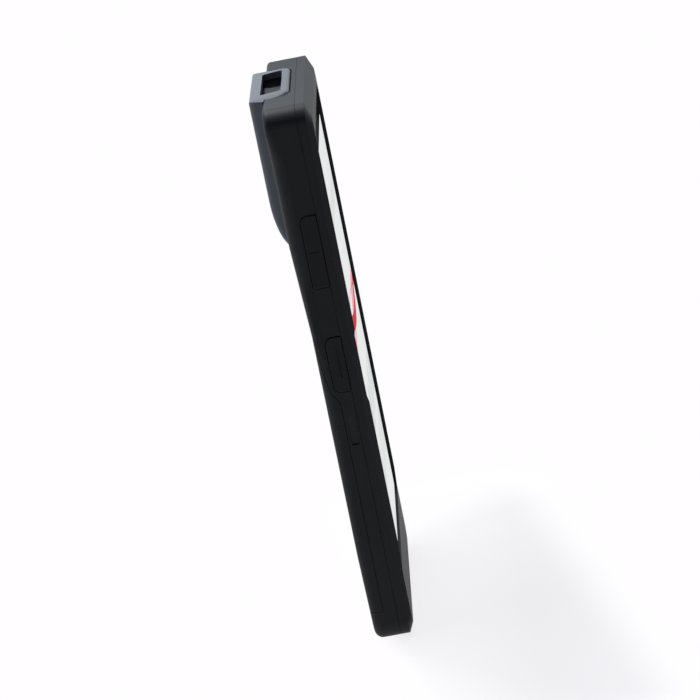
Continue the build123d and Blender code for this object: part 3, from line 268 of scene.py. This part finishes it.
def lit_picture(made):
    """The lit screen: flowing ribbons over a pale page with rows of tiles, black round it."""
    x, _, z = made.axes()
    across = (abs(x) - (screen_half - screen_corner)).most(0.0)
    middle = (screen_low + screen_high) / 2
    along = (abs(z - middle) - ((screen_high - screen_low) / 2 - screen_corner)).most(0.0)
    lit = across.length(along).below(screen_corner, 0.00012)
    shown = made.mix(made.noise(0.06, 1.0), scaled(paper, 0.985), paper)
    ribbons = [
        (0.0868, 0.0032, 58.0, 0.4, 0.0026, pink),
        (0.0902, 0.0040, 47.0, 2.2, 0.0019, rose),
        (0.0884, 0.0030, 71.0, 4.1, 0.0022, red),
    ]
    for height, swing, pace, start, half, colour in ribbons:
        wave = height + (x * pace + start).sine() * swing
        width = half * (0.55 + 0.45 * (x * (pace * 0.6) + start * 2).sine())
        shown = made.mix((abs(z - wave) - width).below(0.0, 0.0003), shown, colour)
    tile = 0.0064
    pitch = 0.0168
    for row_z, tint in ((0.0430, 0.90), (0.0610, 0.86)):
        column = abs((x + 2 * pitch) % pitch - pitch / 2)
        square = (column - tile * 0.72).most(0.0).length((abs(z - row_z) - tile * 0.72).most(0.0))
        icon = square.below(tile * 0.28, 0.0003) * (abs(x).below(2 * pitch, 0.0001))
        shown = made.mix(icon, shown, scaled(paper, tint))
    bar = (abs(x) - 0.0270).most(0.0).length(abs(z - 0.1200)).below(0.0034, 0.0003)
    shown = made.mix(bar, shown, scaled(paper, 0.9))
    return lit, made.mix(lit, (0.004, 0.004, 0.004, 1.0), shown)


for name, nodes in (("lit_display", ["display_panel"]), ("cover_glass", ["cover_glass"])):
    face = Finish(name)
    lit, shown = lit_picture(face)
    smear = face.noise(0.02, 3.0, 0.6)
    body = face.shader(
        face.mix(smear, srgb(9, 9, 11), srgb(14, 14, 16)), 0.3 + smear * 0.06,
        Emission_Color=shown, Emission_Strength=0.93, Specular_IOR_Level=0.0,
    )
    polish = face.node(
        "ShaderNodeBsdfGlossy", None,
        {"Color": (1.0, 1.0, 1.0, 1.0), "Roughness": 0.06 + smear * 0.05},
    )
    face.show(face.blend(0.02, body, polish.outputs["BSDF"]))
    dress(face.material, *nodes)

tape_black = moulded("bonding_tape", srgb(20, 20, 22), 0.8, 0.1, wear=0.0)
dress(tape_black, "glass_adhesive")

mesh_finish = Finish("woven_mesh")
x, _, z = mesh_finish.axes()
thread = 0.00022
weave = (abs((x + 1.0) % thread - thread / 2)).most(abs(z % thread - thread / 2))
hole = weave.below(thread * 0.3, thread * 0.1)
mesh_finish.show(
    mesh_finish.shader(
        mesh_finish.mix(hole, srgb(70, 72, 76), srgb(6, 6, 7)), 0.35 + hole * 0.4, Metallic=0.6,
        Normal=mesh_finish.bump(1 - hole, 0.00004),
    )
)
dress(mesh_finish.material, "earpiece_mesh", "speaker_mesh")

# ---- Chassis plate ----
# A pressed stainless steel plate stiffens the terminal behind the display. It is tumbled and
# passivated, so its faces are dull silver with a cloudy bloom.
def metal(name, colour, rough, bloom=0.12):
    """Bare or plated metal: cloudy tone, fine marks and bright edges."""
    made = Finish(name)
    cloud = made.noise(0.006, 4.0, 0.6)
    mark = made.noise(0.0004, 3.0, 0.6)
    edge = made.edge(0.0002)
    tone = made.mix(cloud, scaled(colour, 1 - bloom), scaled(colour, 1 + bloom))
    tone = made.mix(edge * 0.5, tone, scaled(colour, 1.35))
    sheen = rough + (mark - 0.5) * 0.18 + (cloud - 0.5) * 0.1
    made.show(made.shader(tone, sheen, Metallic=1.0, Normal=made.bump(mark, 0.000004)))
    return made.material


dress(metal("passivated_stainless", srgb(186, 188, 190), 0.42), "chassis_plate")

# ---- Screws ----
# The long screws that close the case are blackened steel with a rolled thread and a six-lobed
# socket. The short ones inside are plated steel.
steel = metal("plated_steel", srgb(198, 200, 204), 0.28)
dark_steel = metal("blackened_steel", srgb(74, 76, 80), 0.34)
dress(steel, "chassis_screws", "board_screws")
turned_steps = 48


def placed(name, form, material, body, sharp=0.5):
    """A finished mesh as an object that rides on a body."""
    bmesh.ops.recalc_face_normals(form, faces=form.faces)
    mesh = bpy.data.meshes.new(name)
    form.to_mesh(mesh)
    form.free()
    for face in mesh.polygons:
        face.use_smooth = True
    mesh.set_sharp_from_angle(angle=sharp)
    mesh.materials.append(material)
    piece = bpy.data.objects.new(name, mesh)
    bpy.context.scene.collection.objects.link(piece)
    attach(piece, body)
    return piece


def turned(form, x, z, rings):
    """Closed form along Y from rings of (radius, y, lobe), where a lobe waves a ring six times."""
    last = None
    for radius, y, lobe in rings:
        loop = []
        for i in range(turned_steps):
            turn = 2 * math.pi * i / turned_steps
            reach = radius * (1 + lobe * math.cos(6 * turn))
            loop.append(form.verts.new((x + reach * math.cos(turn), y, z + reach * math.sin(turn))))
        if last is None:
            form.faces.new(loop)
        else:
            for i in range(turned_steps):
                j = (i + 1) % turned_steps
                form.faces.new((last[i], last[j], loop[j], loop[i]))
        last = loop
    form.faces.new(last)


def star_screw(form, x, z, seat):
    """Long screw: rolled shaft, low head on its seat and a six-lobed socket."""
    shaft = 0.0009
    root = shaft * 0.84
    head = 0.0016
    top = seat + 0.001
    soft = 0.00018
    tip = -0.0056
    thread_low = tip + 0.0004
    thread_gap = 0.0012
    thread = 0.00045
    socket = 0.00062
    socket_foot = 0.0003
    lobe = 0.16
    rings = [(0.0005, tip, 0), (shaft, thread_low, 0)]
    for i in range(int((seat - thread_gap - thread_low) / thread)):
        y = thread_low + i * thread
        rings += [(shaft, y + thread * 0.2, 0), (root, y + thread * 0.55, 0),
                  (root, y + thread * 0.65, 0), (shaft, y + thread, 0)]
    rings += [
        (shaft, seat, 0), (head, seat, 0), (head, top - soft, 0),
        (head - soft * 0.3, top - soft * 0.3, 0), (head - soft, top, 0),
        (socket + 0.0001, top, lobe), (socket, top - 0.00012, lobe),
        (socket, top - 0.0006, lobe), (socket_foot, top - 0.00072, 0),
    ]
    turned(form, x, z, rings)


for name, node, seat, places in (
    ("head_star_screws", "head_screws", 0.00265, [(0.0295, 0.1475)]),
    ("housing_star_screws", "housing_screws", -0.0005, [(0.0339, 0.02), (0.0339, 0.068)]),
):
    form = bmesh.new()
    for x, z in places:
        for side in (-1, 1):
            star_screw(form, side * x, z, seat)
    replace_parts(placed(name, form, dark_steel, "terminal"), node)

# ---- Boards and what is soldered to them ----
# Glass-fibre boards under green solder mask carry tinned shield cans and moulded chips.
# Amber polyimide flexes join them.
board = Finish("solder_mask")
x, _, z = board.axes()
track_pitch = 0.0009
along = abs((x + 1.0) % track_pitch - track_pitch / 2).below(0.00012, 0.00006)
across = abs((z + 1.0) % track_pitch - track_pitch / 2).below(0.00012, 0.00006)
patch = board.noise(0.006, 1.0).below(0.5, 0.02)
tracks = along * patch + across * (1 - patch)
pads = board.cells(0.0028).below(0.09, 0.02)
tone = board.mix(board.noise(0.01), srgb(18, 84, 48), srgb(26, 100, 58))
tone = board.mix(tracks * 0.6, tone, srgb(58, 132, 78))
tone = board.mix(pads, tone, srgb(196, 168, 92))
board.show(
    board.shader(
        tone, 0.32 + pads * 0.1, Metallic=pads, Normal=board.bump(tracks + pads, 0.00003)
    )
)
dress(board.material, "main_board", "bottom_board", "left_key_board", "right_key_board")
dress(metal("tinned_can", srgb(190, 188, 182), 0.3), "shield_cans", "usb_port_shell", "card_socket",
      "switch_domes", "vibration_motor")
chip = moulded("chip_package", srgb(46, 46, 50), 0.55, 0.4, wear=0.15)
dress(chip, "board_chips", "microphone", "earpiece_receiver", "front_camera", "speaker",
      "battery_connector", "usb_tongue")
flex = Finish("polyimide_flex")
x, _, z = flex.axes()
line = abs((x + 1.0) % 0.0006 - 0.0003).below(0.00012, 0.00005)
flex.show(
    flex.shader(
        flex.mix(line * 0.7, srgb(178, 120, 36), srgb(120, 72, 22)), 0.3,
        Normal=flex.bump(line, 0.00002), Specular_IOR_Level=0.5,
    )
)
dress(flex.material, "board_flex", "engine_flex")
gold = metal("gold_plate", srgb(226, 184, 104), 0.25)
dress(gold, "charging_contacts", "battery_pads", "battery_springs")

# ---- Side keys ----
# The keys are moulded caps with a soft-touch coat, a shade duller than the housing. They sit
# in slots in the rear housing and press on metal domes.
key_coat = moulded("soft_touch_key", srgb(18, 19, 24), 0.62, 0.25, grain=0.00012, wear=0.3)
dress(key_coat, "volume_key", "left_scan_key", "right_scan_key", "power_key")

# ---- Rear housing ----
# The back shell is moulded in the same black polycarbonate as the front, and screws to the
# chassis from behind.
dress(shell_black, "rear_housing")

# ---- Battery, seal and cover ----
# The battery is a wrapped lithium pack in a bay that a silicone ring seals. The cover is a
# thin moulding that wraps onto both sides.
dress(moulded("silicone_seal", srgb(58, 58, 62), 0.6, 0.3, wear=0.0), "cover_seal")
wrap = Finish("battery_wrap")
wrap_tone = wrap.mix(wrap.noise(0.012), srgb(92, 95, 100), srgb(104, 107, 112))
wrap.show(wrap.shader(wrap_tone, 0.38 + wrap.noise(0.002) * 0.1, Specular_IOR_Level=0.4))
dress(wrap.material, "battery_pack")
dress(metal("etched_copper", srgb(202, 132, 92), 0.35), "antenna_sheet")
dress(moulded("pull_tape", srgb(196, 202, 206), 0.35, 0.5, wear=0.0), "battery_pull_tab")
dress(shell_black, "battery_cover")

# ---- Scanner and rear camera ----
# The scan engine looks out through a hard-coated window in the top end. It and the camera sit
# under a slate-grey moulding. The camera's barrel and front lens stand behind a small window
# with a printed black edge.
slate = moulded("slate_polycarbonate", srgb(98, 101, 108), 0.55, 0.2)
dress(slate, "scanner_cover")
# The window gasket lines the walls of the window opening, and its black there stands in for the shade
# inside the opening, so on it this is painted shade. The scan engine and camera module are black in
# their own right.
dress(moulded("optics_black_and_painted_shade", srgb(40, 41, 44), 0.6, 0.3, wear=0.1), "scan_engine", "window_gasket",
      "camera_module")
dress(metal("bracket_steel", srgb(150, 152, 156), 0.4), "engine_bracket")
lens = Finish("coated_lens")
bloom = lens.noise(0.003, 2.0)
lens.show(
    lens.shader(
        lens.mix(bloom, srgb(18, 22, 44), srgb(44, 24, 52)), 0.04 + bloom * 0.03,
        Specular_IOR_Level=0.8,
    )
)
dress(lens.material, "engine_lens")
camera_x = -0.009
camera_z = 0.133
form = bmesh.new()
# the barrel steps in from its rim to the seat of the front lens
turned(form, camera_x, camera_z, [
    (0.0034, 0.00702, 0), (0.0034, 0.00734, 0), (0.0031, 0.00738, 0), (0.0028, 0.00738, 0),
    (0.0026, 0.00722, 0), (0.0022, 0.00722, 0), (0.0021, 0.00732, 0), (0.0019, 0.00732, 0),
    (0.0017, 0.00712, 0), (0.0006, 0.00708, 0),
])
placed("camera_lens_barrel", form, moulded("barrel_black", srgb(30, 31, 34), 0.45, 0.4), "terminal")
form = bmesh.new()
dome_steps = 9
dome_turns = [math.pi / 2 * (1 - i / dome_steps) for i in range(dome_steps)] + [0.05]
dome = [
    (0.00185 * math.sin(turn), 0.00708 + 0.00026 * math.cos(turn), 0) for turn in dome_turns
]
turned(form, camera_x, camera_z, [(0.0012, 0.00705, 0)] + dome)
placed("camera_front_lens", form, lens.material, "terminal", 1.2)
pane = Finish("camera_window")
x, _, z = pane.axes()
mask = (x - camera_x).length(z - camera_z).below(0.0029, 0.0001)
pane.show(
    pane.shader(
        srgb(12, 12, 14), 0.05 + pane.noise(0.002) * 0.04, Alpha=1 - mask * 0.85,
        Specular_IOR_Level=0.6,
    )
)
dress(pane.material, "camera_window")
window_coat = Finish("scan_window")
haze = window_coat.noise(0.004, 3.0)
window_coat.show(
    window_coat.shader(srgb(12, 13, 16), 0.05 + haze * 0.05, Alpha=0.22, Specular_IOR_Level=0.5)
)
dress(window_coat.material, "scan_window")
dress(metal("anodised_ring", srgb(92, 94, 98), 0.3), "camera_ring")
pipe = Finish("light_pipe")
fresnel_ring = pipe.cells(0.0004)
pipe.show(
    pipe.shader(
        pipe.mix(fresnel_ring, srgb(226, 222, 204), srgb(240, 238, 228)), 0.22,
        Normal=pipe.bump(fresnel_ring, 0.00003), Specular_IOR_Level=0.5,
    )
)
dress(pipe.material, "flash_light_pipe", "flash_led", "engine_lights")

# ---- Floor and light ----
# A wide white floor in a pale room, under one soft lamp a little behind the terminal, so that
# the shadow falls forward from the screen. The floor is plain white except in a fixed region
# round that shadow, where the lamp-lit floor shows, so that region as well as the lamp sets
# where the shadow ends. In it the glow is painted brighter than white, painted light that lifts
# the lit floor to white, and near the foot less of the lit floor shows, which paints out some of
# the shade there. The room is dark to the left, which keeps the side of the terminal black.
white = (1.0, 0.985, 1.0, 1.0)
floor_half = 6.0
floor_glow = 0.52
shadow_middle = -0.015
shadow_half = 0.1
shadow_skew = 0.16
shadow_start = 0.004
shadow_end = 0.061
foot_reach = 0.03
foot_shade_painted_out = 0.42
room_bright = 1.3
room_dark = 0.08
floor_mesh = bpy.data.meshes.new("floor")
floor_form = bmesh.new()
bmesh.ops.create_grid(floor_form, x_segments=1, y_segments=1, size=floor_half)
floor_form.to_mesh(floor_mesh)
floor_form.free()
floor = bpy.data.objects.new("floor", floor_mesh)
bpy.context.scene.collection.objects.link(floor)
paper_floor = Finish("paper_floor")
x, y, _ = paper_floor.axes()
ahead = x * shadow_skew - y
# The floor's own shading, with the lamp's shadow, shows only inside this mask. Outside it the floor
# shows no shade, so the mask's soft edges paint where the shadow fades out.
near = abs(x - shadow_middle).below(shadow_half, 0.03) * ahead.below(shadow_end, 0.026)
near = near * (0 - ahead).below(shadow_start, 0.012)
# Near the foot the mask is weaker, so more flat white shows there: painted light over the shade at the
# foot.
near = near * (1 - foot_shade_painted_out * (0 - y).below(foot_reach, 0.06))
# Inside the mask the glow is brighter than white: painted light that lifts the lamp-lit floor to white
# around the shadow.
glow = paper_floor.node(
    "ShaderNodeEmission", None,
    {"Color": paper_floor.mix(near, white, (1.22, 1.20, 1.22, 1.0)), "Strength": 1.0},
)
matt = paper_floor.node(
    "ShaderNodeBsdfDiffuse", None,
    {"Color": paper_floor.mix(paper_floor.noise(0.002), srgb(239, 237, 240), srgb(243, 241, 244))},
)
plain = paper_floor.ray("Camera", "Glossy", "Transmission") * (1 - near * (1 - floor_glow))
paper_floor.show(paper_floor.blend(plain, matt.outputs[0], glow.outputs[0]))
floor.data.materials.append(paper_floor.material)

world = bpy.data.worlds.new("pale_room")
bpy.context.scene.world = world
room = Network(world, "ShaderNodeOutputWorld", "Generated")
way, back, _ = room.axes()
walls = [
    room.node("ShaderNodeBackground", None, {"Color": colour, "Strength": strength}).outputs[0]
    for colour, strength in (
        ((0.90, 0.95, 1.0, 1.0), room_bright),
        ((0.80, 0.90, 1.0, 1.0), room_dark),
        (white, 1.0),
    )
]
room_light = room.blend((way * 0.9 + back * 0.45).below(0.1, 0.8), walls[0], walls[1])
room.show(room.blend(room.ray("Camera", "Transmission"), room_light, walls[2]))

lamp_data = bpy.data.lights.new("overhead", "AREA")
lamp_data.shape = "RECTANGLE"
lamp_data.size = 0.014
lamp_data.size_y = 0.032
lamp_data.energy = 0.21
lamp_data.color = (0.94, 0.97, 1.0)
lamp = bpy.data.objects.new("overhead", lamp_data)
bpy.context.scene.collection.objects.link(lamp)
lamp.location = (0.016, 0.035, 0.281)
lamp_target = Vector((0.0, -0.04, 0.0))
lamp.rotation_euler = (lamp_target - lamp.location).to_track_quat("-Z", "Y").to_euler()
lamp.visible_camera = False

bpy.context.scene.view_settings.view_transform = "Standard"
